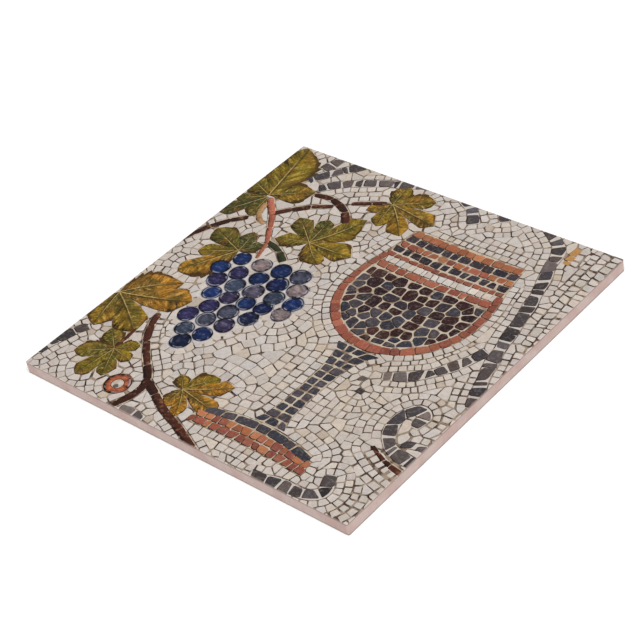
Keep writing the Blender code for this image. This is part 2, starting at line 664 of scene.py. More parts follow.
# %% Stem and foot
STEM_GAP = 0.4
STEM_TOP = BOWL_MIDDLE - BOWL_DEPTH - STEM_GAP
STEM_FOOT = -55.0
STEM_MIDDLE = 23.9
STEM_LEAN = 1.3
STEM_HALF_WIDTH = 3.9
TOP_SPREAD = 6.0
TOP_SPREAD_HEIGHT = 5.5
FOOT_SPREAD = 3.2
FOOT_SPREAD_HEIGHT = 4.0
STEM_COURSE = 3.85
STEM_STONE = 3.9
STEM_WOBBLE = 0.05
STEM_ROUGH = 0.14
STEM_JOINT = 0.42
STEM_CORNER = 0.13
FOOT_MIDDLE = 22.8
FOOT_ROWS = [
    (-57.2, 23.8, 3.4, 7.0, SLATE),
    (-61.1, 25.6, 1.8, 3.4, BRICK + TERRACOTTA),
    (-64.7, 26.3, 1.2, 3.5, BRICK * 2 + TERRACOTTA),
]
FOOT_ROW_WIDTH = 3.4
FOOT_MARGIN = 0.5


def stem_edge(share, height):
    """A point of the stem at a height, from -1 on its left edge to 1 on its right."""
    near_top = math.exp((height - STEM_TOP) / TOP_SPREAD_HEIGHT)
    near_foot = math.exp((STEM_FOOT - height) / FOOT_SPREAD_HEIGHT)
    half = STEM_HALF_WIDTH + TOP_SPREAD * near_top + FOOT_SPREAD * near_foot
    return STEM_MIDDLE + STEM_LEAN * near_top + share * half, height


def lay_stem():
    """Courses of stones down the stem."""
    courses = round((STEM_TOP - STEM_FOOT) / STEM_COURSE)
    heights = np.linspace(STEM_TOP, STEM_FOOT, courses + 1)
    run = np.linspace(STEM_TOP, STEM_FOOT, LINE_POINTS)
    lay_bed([stem_edge(1, y) for y in run] + [stem_edge(-1, y) for y in run[::-1]])
    for upper, lower in zip(heights, heights[1:]):
        middle = (upper + lower) / 2
        count = max(2, round((stem_edge(1, middle)[0] - stem_edge(-1, middle)[0]) / STEM_STONE))
        shares = np.linspace(-1, 1, count + 1)
        shares[1:-1] += rng.normal(0, STEM_WOBBLE, count - 1)
        for near, far in zip(shares, shares[1:]):
            corners = ((near, upper), (far, upper), (far, lower), (near, lower))
            chip = np.array([stem_edge(*corner) for corner in corners])
            chip += rng.normal(0, STEM_ROUGH, chip.shape)
            chip = knock_corners(shrink(chip, STEM_JOINT), STEM_CORNER)
            lay_stone(chip, varied(SLATE, 0.12), shadow=0.3)


def lay_foot():
    """Three long rows for the foot."""
    for height, half, sag, length, colours in FOOT_ROWS:
        across = np.linspace(-1, 1, LINE_POINTS)
        line = np.stack([FOOT_MIDDLE + half * across, height - sag * across**2], 1)
        lay_bed(ribbon(line, FOOT_ROW_WIDTH + FOOT_MARGIN))
        manner = {"joint": 0.6, "wobble": 0.14, "rough": 0.15, "spread": 0.13, "shadow": 1.0}
        lay_row(line, FOOT_ROW_WIDTH, length, colours, **manner)


lay_stem()
lay_foot()
print("goblet:", len(patches), "patches so far")

# %% [markdown]
# The bunch of grapes hangs left of the goblet: rows of glass discs that taper to a single one, each disc
# pushed a little off its place. Spheres would be simpler to add, but the picture is flat. So a grape is a
# polygon with many sides that is only nearly round, and its frame stands upright, so that the brushed
# streaks of the glass lie level in every grape. A row is given by its shift to the right, the pitch of its
# grapes and their shades.

# %% Grapes
BUNCH_TOP = (-33.2, 9.2)
BUNCH_ROWS = [
    (0.0, 8.9, "blue mauve blue slate"),
    (0.0, 8.9, "blue indigo blue deep mauve"),
    (3.7, 8.8, "indigo slate dusk slate blue"),
    (5.7, 7.9, "blue indigo blue deep mauve"),
    (3.5, 8.8, "indigo slate deep"),
    (-0.7, 8.4, "indigo slate indigo"),
    (-0.4, 8.7, "slate blue"),
    (-0.8, 8.8, "deep"),
]
GRAPE_ROW_PITCH = 6.85
BUNCH_TILT = 0.1
GRAPE_SIDES = 28
ABOUT_A_TURN = 6.3
GRAPE_RADIUS = (3.75, 4.3)
GRAPE_GAP = 0.12
GRAPE_WAVES = [(2, 0.03), (3, 0.02)]
GRAPE_RIM = 1.07
GRAPE_HALO = 1.45
GRAPE_JITTER = 0.2
GRAPE_SPREAD = 0.08
GRAPE_RINGS = [(GRAPE_RIM, "grape_rind", GRAPE_RIND), (GRAPE_HALO, "grape_halo", CREAM[0])]


def lay_grapes():
    """Discs of blue glass in rows."""
    turn = np.radians(np.arange(GRAPE_SIDES) * 360 / GRAPE_SIDES)
    number = 0
    for row, (shift, pitch, shades) in enumerate(BUNCH_ROWS):
        for place, shade in enumerate(shades.split()):
            aside = shift + (place - len(shades.split()) / 2 + 0.5) * pitch
            down = row * GRAPE_ROW_PITCH - aside * BUNCH_TILT
            centre = BUNCH_TOP + np.array((aside, -down)) + rng.normal(0, GRAPE_JITTER, 2)
            radius = min(rng.uniform(*GRAPE_RADIUS), pitch / 2 - GRAPE_GAP)
            wave = 1.0
            for bulges, height in GRAPE_WAVES:
                wave = wave + height * np.sin(bulges * turn + rng.uniform(0, ABOUT_A_TURN))
            disc = np.stack([np.cos(turn), np.sin(turn)], 1) * (radius * wave)[:, None] + centre
            tint = varied(GRAPES[shade], GRAPE_SPREAD)
            patches.append(Patch(disc, "glass", tint, centre=centre, half=(radius, radius)))
            beds.append((disc - centre) * GRAPE_RIM + centre)
            for size, layer, rind in GRAPE_RINGS:
                patches.append(Patch((disc - centre) * size + centre, "stone", rind, layer=layer))
            number += 1
    return number


print("grapes:", lay_grapes())

# %% [markdown]
# A vine leaf has a few lobes on veins that spread from the end of its stalk. Drawing every toothed rim by
# hand would take hundreds of points, so a formula gives the lobes, and a leaf is only the place of its
# stalk and a list of veins, each with its direction in degrees, its length and its tone from green to gold.
# A lobe is an oval round its vein, narrow at its root and with teeth along its rim, and where two lobes
# would overlap they meet halfway between their veins, with a notch farther out. Short lobes are broader for
# their length than long ones. Every lobe is made as two halves that share the vein, and a half tells its
# shader how far along the vein each point lies and how near the rim, so that veins and folds can be painted.

# %% Vine leaves
LOBE_WIDTH = 0.31
LOBE_ROOT = 0.11
STALK_GAP = 50
WEB_END = 0.4
NOTCH = 0.5
SHORT_BROADER = 2.2
LOBE_SHARES = (0.95, 1.15)
LOBE_TAPERS = (0.8, 1.25)
VEIN_BEND = 0.08
TONE_SPREAD = 0.12
TOOTH_DEPTH = 0.2
WIDEST_WEB = 75
TOOTH_PITCH = 3.6
FEWEST_TEETH = 3
TOOTH_STEPS = (0.0, 0.5, 0.93)
LEAF_JOINT = 0.12
LEAF_MORTAR = 0.5
LEAF_ROOM = 0.25
LEAVES = [
    ((-66.0, 44.0), [(102, 32.5, 0.1), (33, 18.5, 0.2), (160, 16, 0.0)]),
    ((-65.5, 43.0), [(-78, 13, -0.8), (-119, 20, -1.0), (-152, 13, -0.7)]),
    (
        (-18.3, 62.4),
        [
            (-130, 10.5, 0.3), (-82, 14, 0.3), (-38, 20.5, 0.4),
            (-7, 22.6, 0.5), (30, 16.5, 0.1), (103, 12, 0),
        ],
    ),
    (
        (-31.3, 28.4),
        [
            (-43, 14.7, 0.1), (-2, 20, 0.1), (55, 23.8, 0.0),
            (95, 14.5, -0.9), (141, 17, -0.6), (190, 14, -0.1),
        ],
    ),
    ((-51.8, 11.3), [(50, 9.5, -1.0), (99, 12, -0.9), (162, 18.5, -0.7), (208, 16, 0.0), (237, 24, 0.6)]),
    ((-74.7, -29.8), [(-78, 19.4, 0.4), (-27, 25.6, 0.3), (14, 30, 0.8), (53, 24, 0.9)]),
    (
        (-52.4, -54.0),
        [
            (-142, 15, -0.4), (-99, 17.3, -0.1), (-62, 14.5, -0.2),
            (-10, 10, 0), (42, 9.5, -0.1), (140, 12, -0.2),
        ],
    ),
    (
        (-14.8, -57.0),
        [
            (-90, 9.5, 0.7), (-49, 13.5, 0.8), (-9, 18.6, 1.0),
            (27, 18.6, 0.7), (60, 13.5, 0.1), (132, 7.5, 0.3),
        ],
    ),
]
LEAF_SHADOW = np.array((0.1, -0.18))
LEAF_GREEN = np.array(painted(52, 62, 34))
LEAF_OLIVE = np.array(painted(126, 106, 22))
LEAF_GOLD = np.array(painted(164, 111, 34))


def half_width(t, taper):
    """Half a lobe's width at a share of its length, as a share too. More taper makes it more pointed."""
    t = np.clip(t, 0.0, 1.0)
    return LOBE_WIDTH * np.sin(np.pi * t ** (1.9 - 0.6 * taper)) ** taper + LOBE_ROOT * (1 - t) ** 3


def toothed(t, teeth):
    """A factor that swells and drops along a rim, once for each tooth."""
    saw = (t * teeth) % 1.0
    return 1 + TOOTH_DEPTH * (saw - 0.6) * np.sin(np.pi * np.clip(t, 0, 1)) ** 0.5


def lay_leaf(stalk_end, lobes):
    """One vine leaf, with two halves to a lobe. A lobe has its vein's direction, a length and a tone."""
    stalk_end = np.array(stalk_end)
    turns = np.array([turn for turn, _, _ in lobes])
    halfway = (turns[1:] + turns[:-1]) / 2
    borders = np.concatenate(([turns[0] - STALK_GAP], halfway, [turns[-1] + STALK_GAP]))
    for number in sorted(range(len(lobes)), key=lambda number: -lobes[number][1]):
        turn, length, tone = lobes[number]
        bend = rng.normal(0, VEIN_BEND)
        wide = rng.uniform(*LOBE_SHARES) + SHORT_BROADER / length
        taper = rng.uniform(*LOBE_TAPERS)
        teeth = max(FEWEST_TEETH, round(length / TOOTH_PITCH))
        facing = math.radians(turn)
        axis = np.array((math.cos(facing), math.sin(facing)))
        across = np.array((-axis[1], axis[0]))
        steps = (np.arange(teeth)[:, None] + TOOTH_STEPS).ravel() / teeth
        t = np.append(steps, 1.0)
        vein = stalk_end + (t[:, None] * axis + (bend * t**2)[:, None] * across) * length
        tone += rng.normal(0, TONE_SPREAD)
        turned = LEAF_GOLD if tone > 0 else LEAF_GREEN
        tint = LEAF_OLIVE + (turned - LEAF_OLIVE) * min(1.0, abs(tone))

        def place(forward, left, length=length, bend=bend, taper=taper):
            """Where a point lies: along the vein, out towards the rim, and how far beside the vein."""
            along = forward / length
            aside = left / length - bend * along**2
            return along, aside / (half_width(along, taper) + 0.01), aside

        for side, border in ((-1, borders[number]), (1, borders[number + 1])):
            limit = math.tan(math.radians(min(abs(border - turn), WIDEST_WEB)))
            web = t * limit * (1 - NOTCH * np.clip(t - WEB_END, 0, 1))
            reach = np.minimum(half_width(t, taper) * toothed(t, teeth) * wide, web)
            rim = vein + (side * reach * length)[:, None] * across
            outline = np.vstack([vein, rim[-2:0:-1]])
            own = {"centre": stalk_end, "axis": axis, "half": (1, 1), "layer": "leaf", "place": place}
            patches.append(Patch(outline, "leaf", tint, **own))
            fallen = shrink(outline, -LEAF_JOINT) + LEAF_SHADOW
            patches.append(Patch(fallen, "shadow", BED_DARK, layer="leaf_shadow"))
            patches.append(Patch(shrink(outline, -LEAF_MORTAR), "pale_bed", BED_PALE, layer="leaf_mortar"))
            beds.append(shrink(outline, -LEAF_ROOM))


for leaf in LEAVES:
    lay_leaf(*leaf)
print("leaves:", len(LEAVES))

# %% [markdown]
# The vine's wood is long dark chips laid end to end, and the tendrils are thinner and pink or straw. The
# scrolls are broad grey stones in pale mortar. They are all rows along routes, drawn by a few points each. A
# vine or a tendril also has its width at the start and at the end, and a scroll's width goes in a wave. The
# two columns of pale blocks at the right edge are rows too. They belong to the ground, but follow the edge
# and not the figures.

# %% Vine, tendrils and scrolls
VINES = [
    ([(-79, 3), (-76.2, 8.8), (-70.3, 21.3), (-62.8, 29.2)], (2.6, 2.6)),
    ([(-56.4, 35.4), (-47.9, 44), (-38, 50.4)], (2.6, 2.4)),
    ([(-33, 54.6), (-27.4, 58.1), (-20.5, 61.6)], (2.4, 2.6)),
    (
        [
            (-52.4, -31), (-48.5, -40), (-43.7, -46.1), (-38, -51.8), (-31.8, -57),
            (-28.2, -62), (-27.8, -67), (-29.6, -73), (-33.5, -80),
        ],
        (2.5, 3.1),
    ),
    ([(-28.6, -60.5), (-20.5, -64.3), (-14, -67.8), (-2, -72), (14, -79)], (3.0, 2.8)),
]
TENDRILS = [
    ([(-64, 42.5), (-57, 36), (-50.5, 27.5), (-45.5, 20), (-42.5, 11)], (2.9, 1.4), TENDRIL),
    ([(-63, 39.5), (-61.5, 33.5), (-59.5, 30), (-55, 28.3)], (2.4, 1.5), DRY_TENDRIL),
    ([(-46, 21), (-39, 19.5), (-32, 14.5)], (2.0, 2.9), STALK),
    ([(-53.4, -41.5), (-52.4, -46), (-52.8, -53)], (0.9, 1.2), VINE_WOOD),
    (
        [(-49.6, 52.3), (-44.5, 53.9), (-38.5, 53.1), (-33.5, 51), (-29.5, 47.8), (-26.8, 44.2)],
        (2.3, 3.1),
        VINE_WOOD,
    ),
]
TENDRIL_CHIP = 9.0
WOOD_CHIP = 7.0
RED_CHIP = 4.0
STRIP_MARGIN = 0.6
SCROLL_WIDTH = 4.8
SCROLL_STONE = 4.9
SCROLL_WAVE = 0.5
SCROLL_WAVES = 0.12
LATEST_START = 6.0
SCROLL_ROOM = 0.1
SCROLL_MORTAR = -0.3
STONES_BROADER = 0.4
INNER_SCROLL_WIDTH = SCROLL_WIDTH - 1.4
BLOCK_WIDTH = 3.8
BLOCKS_BROADER = 0.1
BLOCK_LENGTH = 3.3
SCROLLS = [
    [
        (40, 80), (47.5, 74.5), (53.5, 69), (56, 60), (59.5, 50),
        (62.5, 39), (65, 27), (67, 17), (70, 5), (77, -14),
    ],
    [(64.5, 11.5), (61, 3), (55.5, -6), (49, -12), (41.2, -16.4)],
    [(-56, 80), (-56, 74), (-57.5, 67)],
    [(-42, 80), (-48, 72.5), (-54.5, 65), (-58.5, 58.5)],
    [(-8, 80), (-20, 75.5), (-32, 70.5), (-43, 64), (-51.5, 56.5)],
    [(4, 78), (11, 73.5), (16.5, 67)],
    [(22, 79), (26, 73.5)],
    [(-70, -49.5), (-74, -57), (-77, -70)],
    [(34, -76), (46, -73.8), (56, -73), (60.5, -69), (57.5, -62)],
    [(-28, -75.5), (-16, -76)],
    [
        (66.2, -31), (66.6, -25.2), (62.8, -23.4), (59.6, -27.5), (59.7, -32.5),
        (61.6, -37.6), (65.8, -42), (72, -43.9), (79, -44.2),
    ],
]
INNER_SCROLL = [(67.6, -38.9), (73, -37.4), (79, -36.6)]
RED_CHIPS = [(60.2, -44.4), (65, -46.8), (71, -48.9), (79, -50.2)]
BLOCKS = [
    [(70.4, 79), (70.6, 60), (71.2, 42), (73.8, 20)],
    [(74.2, 79), (74.4, 60), (75.0, 42), (77.2, 22)],
]


def lay_strip(points, widths, colours, length, **manner):
    """A strip of long chips, and room for it."""
    line = route(points)
    widths = np.linspace(*widths, len(line))
    lay_bed(ribbon(line, widths + STRIP_MARGIN))
    lay_row(line, widths, length, colours, finish="wood", **manner)


def lay_scroll(points, broad):
    """A scroll of broad grey stones, with pale mortar between them, and room for it."""
    line = route(points)
    wave = np.linspace(0, len(line) * SCROLL_WAVES, len(line)) + rng.uniform(0, LATEST_START)
    width = broad + SCROLL_WAVE * np.sin(wave)
    lay_bed(ribbon(line, width + SCROLL_ROOM), pale=False)
    mortar_band = ribbon(line, width + SCROLL_MORTAR)
    patches.append(Patch(mortar_band, "stone", CREAM[0], layer="scroll_mortar"))
    manner = {"joint": 1.15, "wobble": 0.22, "rough": 0.3, "spread": 0.2, "shadow": 0.6, "slant": 0.35}
    lay_row(line, width + STONES_BROADER, SCROLL_STONE, BASALT, **manner)


for points, widths, colours in TENDRILS:
    lay_strip(points, widths, colours, TENDRIL_CHIP, joint=0.1)
for points, widths in VINES:
    lay_strip(points, widths, VINE_WOOD, WOOD_CHIP, joint=0.25)
lay_strip(RED_CHIPS, (1.4, 2.6), VINE_WOOD, RED_CHIP, joint=0.22)
for points in SCROLLS:
    lay_scroll(points, SCROLL_WIDTH)
lay_scroll(INNER_SCROLL, INNER_SCROLL_WIDTH)
for points in BLOCKS:
    line = route(points)
    lay_bed(ribbon(line, BLOCK_WIDTH), pale=False)
    manner = {"joint": 0.8, "wobble": 0.15, "rough": 0.2, "spread": 0.06, "shadow": 0.85, "slant": 0.4}
    lay_row(line, BLOCK_WIDTH + BLOCKS_BROADER, BLOCK_LENGTH, CREAM, **manner)
print("patches after the vine and the scrolls:", len(patches))

# %% [markdown]
# A small ring of terracotta with a pale middle, like a berry or a flower seen from above, fills the lower
# left corner: a disc with a smaller disc over it, and three tiny chips in that. A few loose chips of ochre
# and basalt lie in the ground. They are one small block, made as tall as each chip is and with its corners
# pushed about.

# %% Berry ring and loose chips
RING_MIDDLE = np.array((-37.2, -67.0))
RING_RADIUS = 5.2
RING_HOLE = 2.3
RING_JOINT = 0.25
RING_MARGIN = 0.3
RING_CHIPS = [(40, CREAM[0]), (165, TAN[1]), (280, BASALT[2])]
CHIP_PLACE = 0.5
CHIP_SIZE = 0.54
LOOSE_CHIP = np.array([(-1.5, -0.5), (1.4, -0.5), (1.5, 0.5), (-1.4, 0.5)])
LOOSE_CHIPS = [
    (59.2, 71.2, 4.4, OCHRE),
    (59.4, 67.3, 2.8, OCHRE),
    (59.8, 64.7, 2.0, OCHRE),
    (36.3, -20.7, 2.3, BASALT),
    (39.6, -26.0, 2.0, BASALT),
]
LOOSE_ROUGH = 0.15
LOOSE_CORNER = 0.08


def circle(centre, radius, count=60):
    """Points round a circle."""
    turn = np.radians(np.linspace(0, 360, count, endpoint=False))
    return np.stack([np.cos(turn), np.sin(turn)], 1) * radius + centre


def lay_ring():
    """The ring, its pale hole and the chips in the hole."""
    beds.append(circle(RING_MIDDLE, RING_RADIUS + RING_MARGIN))
    hole = circle(RING_MIDDLE, RING_HOLE, 20)
    patches.append(Patch(hole, "pale_bed", BED_PALE, layer="ring_hole"))
    hole_edge = circle(RING_MIDDLE, RING_HOLE + RING_JOINT, 20)
    patches.append(Patch(hole_edge, "shadow", BED_DARK, layer="ring_shadow"))
    patches.append(Patch(circle(RING_MIDDLE, RING_RADIUS), "glass", RING_RED, half=(RING_RADIUS,) * 2))
    for turn, colour in RING_CHIPS:
        aside = np.array((math.cos(math.radians(turn)), math.sin(math.radians(turn))))
        chip = circle(RING_MIDDLE + aside * RING_HOLE * CHIP_PLACE, RING_HOLE * CHIP_SIZE, 5)
        patches.append(Patch(chip, "stone", colour, layer="ring_chip"))


def lay_loose_chips():
    """Copies of one small block, each as tall as it is wanted."""
    for x, y, tall, colours in LOOSE_CHIPS:
        chip = LOOSE_CHIP * (1, tall) + rng.normal(0, LOOSE_ROUGH, (4, 2)) + (x, y)
        beds.append(chip)
        lay_stone(knock_corners(chip, LOOSE_CORNER), varied(colours))


lay_ring()
lay_loose_chips()
print("loose chips:", len(LOOSE_CHIPS))

# %% [markdown]
# The ground is what makes a mosaic look laid and not printed: its rows of stones run round the figures,
# first close along them and then wider, until rows from two figures meet. Drawn like the scrolls, they would
# be dozens of routes. So the area is divided into a fine raster, and for each of its cells the distance to
# the nearest figure is worked out. Every band of equal distance is a row.

# %% Distance to the figures
RASTER = 0.16
REACH = 79.2
FARTHEST = 30.0
middles = np.arange(-REACH, REACH, RASTER) + RASTER / 2
grid_x, grid_y = np.meshgrid(middles, middles)


def cover(marked, outline):
    """Mark the raster's cells whose middles lie inside an outline."""
    low = np.clip(((outline.min(0) + REACH) / RASTER).astype(int) - 1, 0, len(middles))
    high = np.clip(((outline.max(0) + REACH) / RASTER).astype(int) + 2, 0, len(middles))
    xs, ys = middles[low[0]:high[0]][None, :], middles[low[1]:high[1]][:, None]
    inside = np.zeros((ys.size, xs.size), bool)
    for (x0, y0), (x1, y1) in zip(outline, np.roll(outline, -1, axis=0)):
        if y0 != y1:
            inside ^= ((y0 > ys) != (y1 > ys)) & (xs < x0 + (ys - y0) * (x1 - x0) / (y1 - y0))
    marked[low[1]:high[1], low[0]:high[0]] |= inside


def distance_to(marked, farthest):
    """How far each cell is from the nearest marked one, in millimetres."""
    count = len(middles)
    index = np.arange(count)[None, :]
    # Where a line of cells holds no marked one, the nearest counts as far outside the raster
    before = np.maximum.accumulate(np.where(marked, index, -4 * count), axis=1)
    after = np.minimum.accumulate(np.where(marked, index, 5 * count)[:, ::-1], axis=1)[:, ::-1]
    level = np.minimum(index - before, after - index).astype(np.float32) ** 2
    best = level.copy()
    for shift in range(1, round(farthest / RASTER)):
        best[shift:] = np.minimum(best[shift:], level[:-shift] + shift**2)
        best[:-shift] = np.minimum(best[:-shift], level[shift:] + shift**2)
    return np.sqrt(best) * RASTER


figures = np.zeros(grid_x.shape, bool)
for outline in beds:
    cover(figures, outline)
distance = distance_to(figures, FARTHEST)
print("figures cover", round(100 * figures.mean()), "% of the layout")
print("the ground reaches", round(float(distance.max()), 1), "mm away from them")

# %% [markdown]
# Seeds are strung along the middle of a row, about a stone's length apart, and each cell of the raster goes
# to the nearest seed, in most cases of its own row. So every seed gets an area, and that is where its stone
# lies.

# %% Seeds and their areas
SEED_GAPS = (0.8, 1.3)


def string_of_seeds(line, spacing):
    """Places about a spacing apart, along the lines that a cloud of points makes."""
    clear = np.full(len(line), np.inf)
    seeds = []
    here = 0
    while True:
        seeds.append(line[here])
        away = np.hypot(*(line - line[here]).T)
        clear = np.minimum(clear, away / spacing)
        free = np.flatnonzero(clear > rng.uniform(*SEED_GAPS))
        if len(free) == 0:
            return seeds
        here = free[np.argmin(away[free])]


def share_out(owner, seeds, rows, row_of, reach):
    """Give each cell without an owner to the nearest seed, of its own row if the seeds' rows are given."""
    nearest = np.where(owner < 0, reach**2, -1.0)
    for number, (x, y) in enumerate(seeds):
        low = np.clip(((np.array((x, y)) - reach + REACH) / RASTER).astype(int), 0, len(middles))
        high = np.clip(((np.array((x, y)) + reach + REACH) / RASTER).astype(int), 0, len(middles))
        window = slice(low[1], high[1]), slice(low[0], high[0])
        away = (grid_x[window] - x) ** 2 + (grid_y[window] - y) ** 2
        closer = (away < nearest[window]) & (rows[window] >= 0)
        if row_of is not None:
            closer &= rows[window] == row_of[number]
        nearest[window][closer] = away[closer]
        owner[window][closer] = number


# %% [markdown]
# An area of cells has a ragged edge, and a chipped stone has a few straight ones. So each area gets the
# tightest convex outline round it, drawn in until it covers as much as the area does, and then loses the
# corners that add least to it.

# %% From areas to outlines
FEWEST_CORNERS = 4


def few_corners(outline, smallest):
    """Drop the corners that add least to an outline, until each one left adds at least so much area."""
    outline = list(map(np.array, outline))
    while len(outline) > FEWEST_CORNERS:
        before = np.roll(outline, 1, axis=0) - outline
        after = np.roll(outline, -1, axis=0) - outline
        adds = abs(before[:, 0] * after[:, 1] - before[:, 1] * after[:, 0]) / 2
        least = int(np.argmin(adds))
        if adds[least] > smallest:
            break
        outline.pop(least)
    return np.array(outline)


def area_of(outline):
    """The area of an outline, positive if its corners go round anticlockwise."""
    after = np.roll(outline, -1, axis=0)
    return (outline[:, 0] * after[:, 1] - outline[:, 1] * after[:, 0]).sum() / 2


def outlines_of(owner, count, smallest_corner=0.12, smallest_stone=0.9):
    """The outline of each seed's area, as number and corners."""
    edge = np.zeros(owner.shape, bool)
    edge[:, 1:] |= owner[:, 1:] != owner[:, :-1]
    edge[:, :-1] |= owner[:, 1:] != owner[:, :-1]
    edge[1:] |= owner[1:] != owner[:-1]
    edge[:-1] |= owner[1:] != owner[:-1]
    edge[0] = edge[-1] = edge[:, 0] = edge[:, -1] = True
    edge &= owner >= 0
    numbers, x, y = owner[edge], grid_x[edge], grid_y[edge]
    order = np.argsort(numbers, kind="stable")
    numbers, x, y = numbers[order], x[order], y[order]
    starts = np.searchsorted(numbers, np.arange(count + 1))
    area = np.bincount(owner[owner >= 0], minlength=count) * RASTER**2
    for number in range(count):
        spot = slice(starts[number], starts[number + 1])
        if area[number] < smallest_stone or spot.stop - spot.start < FEWEST_CORNERS:
            continue
        cloud = np.stack([x[spot], y[spot]], 1)
        hull = cloud[geometry.convex_hull_2d(cloud.tolist())]
        filled = min(1.0, area[number] / abs(area_of(hull)))
        middle = cloud.mean(0)
        yield number, few_corners(middle + (hull - middle) * filled**0.5, smallest_corner)


# %% [markdown]
# Now the ground is laid. A real setter's rows swell and pinch, so a slow wave stretches the distances
# first, and left of the stem the stones are broader. Where rows from two sides meet, some cells are left
# over. The deep stretches of these get seeds of their own, and thin slivers go to the nearest seed of any
# row, which gives the broad, odd stones seen there. Near the right edge the joints are wider.

# %% Ground stones
ROW_WIDTH = 3.1
STONE_LENGTH = 3.05
STONE_REACH = 5.0
LATE_REACH = ROW_WIDTH * 0.8
ROW_SWELL = 0.08
ROW_WAVE = 45.0
PLAIN_WAVES = 5
WAVE_SPREAD = (0.7, 1.4)
MIDDLE_BAND = RASTER * 0.75
BROAD_PLACE = (-2.0, -33.0)
BROAD_REACH = 18.0
BROAD_SHARE = 0.3
LEFT_DEPTH = 0.7
LEFT_SPREAD = 1.6
TAN_SHARE = 0.04
JOINTS = (0.12, 0.36)
EDGE_ROWS = 67.0
EDGE_JOINT = 0.14
GROUND_CORNER = 0.1
GROUND_JITTER = 0.05
GROUND_SPREAD = 0.035
JOINT_SHADOW = (-0.05, -0.13)
SHADOW_JITTER = 0.18
FLAT = 1e-6


def slow_wave(x, y, length):
    """A smooth wave over the layout, between about -1 and 1, as a mean of a few plain ones."""
    total = 0.0
    for _ in range(PLAIN_WAVES):
        turn, phase = rng.uniform(0, ABOUT_A_TURN, 2)
        waves = ABOUT_A_TURN / (length * rng.uniform(*WAVE_SPREAD))
        total = total + np.sin((x * math.cos(turn) + y * math.sin(turn)) * waves + phase)
    return total / PLAIN_WAVES


def string_rows(depth, rows, swell):
    """Seeds along the middle of every row, and the row of each."""
    seeds, row_of = [], []
    for row in range(rows.max() + 1):
        middle = (abs(depth - (row + 0.5) * ROW_WIDTH) < MIDDLE_BAND) & ~figures
        line = np.stack([grid_x[middle], grid_y[middle]], 1)
        if len(line):
            strung = string_of_seeds(line, STONE_LENGTH * swell[middle])
            seeds += strung
            row_of += [row] * len(strung)
    return seeds, row_of


def share_left_over(owner, seeds, rows, row_of, swell):
    """Share out the cells between the rows, to seeds of their own where they lie deep enough."""
    left_over = (owner < 0) & ~figures
    core = distance_to(~left_over, ROW_WIDTH) > LEFT_DEPTH
    last_row = rows.max() + 1
    rows[left_over & (distance_to(core, ROW_WIDTH) < LEFT_DEPTH * LEFT_SPREAD)] = last_row
    strung = string_of_seeds(np.stack([grid_x[core], grid_y[core]], 1), STONE_LENGTH * swell[core])
    seeds += strung
    row_of += [last_row] * len(strung)
    share_out(owner, seeds, rows, row_of, LATE_REACH)
    share_out(owner, seeds, rows, None, LATE_REACH)


def lay_ground():
    """Rows of pale stones over all that the figures leave free."""
    away = np.hypot(grid_x - BROAD_PLACE[0], grid_y - BROAD_PLACE[1])
    broad = BROAD_SHARE * np.exp(-((away / BROAD_REACH) ** 2) / 2)
    swell = 1 + ROW_SWELL * slow_wave(grid_x, grid_y, ROW_WAVE) + broad
    depth = distance / swell
    rows = np.where(figures, -1, np.floor(depth / ROW_WIDTH)).astype(int)
    seeds, row_of = string_rows(depth, rows, swell)
    owner = np.full(grid_x.shape, -1)
    share_out(owner, seeds, rows, row_of, STONE_REACH)
    share_left_over(owner, seeds, rows, row_of, swell)
    slope_y, slope_x = np.gradient(depth)
    for number, outline in outlines_of(owner, len(seeds)):
        cell = ((seeds[number] + REACH) / RASTER).astype(int).clip(0, len(middles) - 1)
        uphill = slope_x[cell[1], cell[0]], slope_y[cell[1], cell[0]]
        axis = (1.0, 0.0) if np.hypot(*uphill) < FLAT else (-uphill[1], uphill[0])
        joint = rng.uniform(*JOINTS)
        if seeds[number][0] > EDGE_ROWS:
            joint += EDGE_JOINT
        chip = knock_corners(shrink(outline, joint), GROUND_CORNER) + rng.normal(0, GROUND_JITTER, 2)
        tint = varied(TAN if rng.random() < TAN_SHARE else CREAM, GROUND_SPREAD)
        patches.append(Patch(chip, "stone", tint, axis=axis, layer="ground_stone"))
        fallen = chip + rng.normal(0, SHADOW_JITTER, 2) + JOINT_SHADOW
        patches.append(Patch(fallen, "shadow", BED_DARK, layer="ground_shadow"))
    return len(seeds)


print("ground stones:", lay_ground())

# %% [markdown]
# The goblet's fill is laid by the same sharing out, with seeds on a loose honeycomb instead of rows and
# with much rounder stones, so that the pale mortar shows between them. A seed that would fall on the wall
# is drawn inwards or left out. Maroon pebbles lie mostly near the top and slate ones near the bottom.

# %% Pebbles in the bowl
PEBBLE_PITCH = 5.25
PEBBLE_ROW = PEBBLE_PITCH * 0.88
PEBBLE_JITTER = 0.75
PEBBLE_REACH = PEBBLE_PITCH * 1.2
PEBBLE_GAP = 0.4
ROW_HALF_WIDTH = 30.0
FIRST_ROW = 2.0
PEBBLE_WEAR = (0.12, 0.46)
PEBBLE_CORNERS = (0.15, 0.25)
PEBBLE_SPREAD = 0.1
FAR_CORNER = 1.12
MAROON_SHARES = (0.25, 0.7)
INWARD = 0.08


def worn_round(outline, by):
    """A stone whose corners are worn: the far ones are drawn in more than the near ones."""
    away = outline - outline.mean(0)
    length = np.hypot(*away.T)
    kept = np.minimum(length - by, length.mean() * FAR_CORNER)
    worn = outline.mean(0) + away * (kept / length)[:, None]
    for share in PEBBLE_CORNERS:
        worn = knock_corners(worn, share)
    return worn


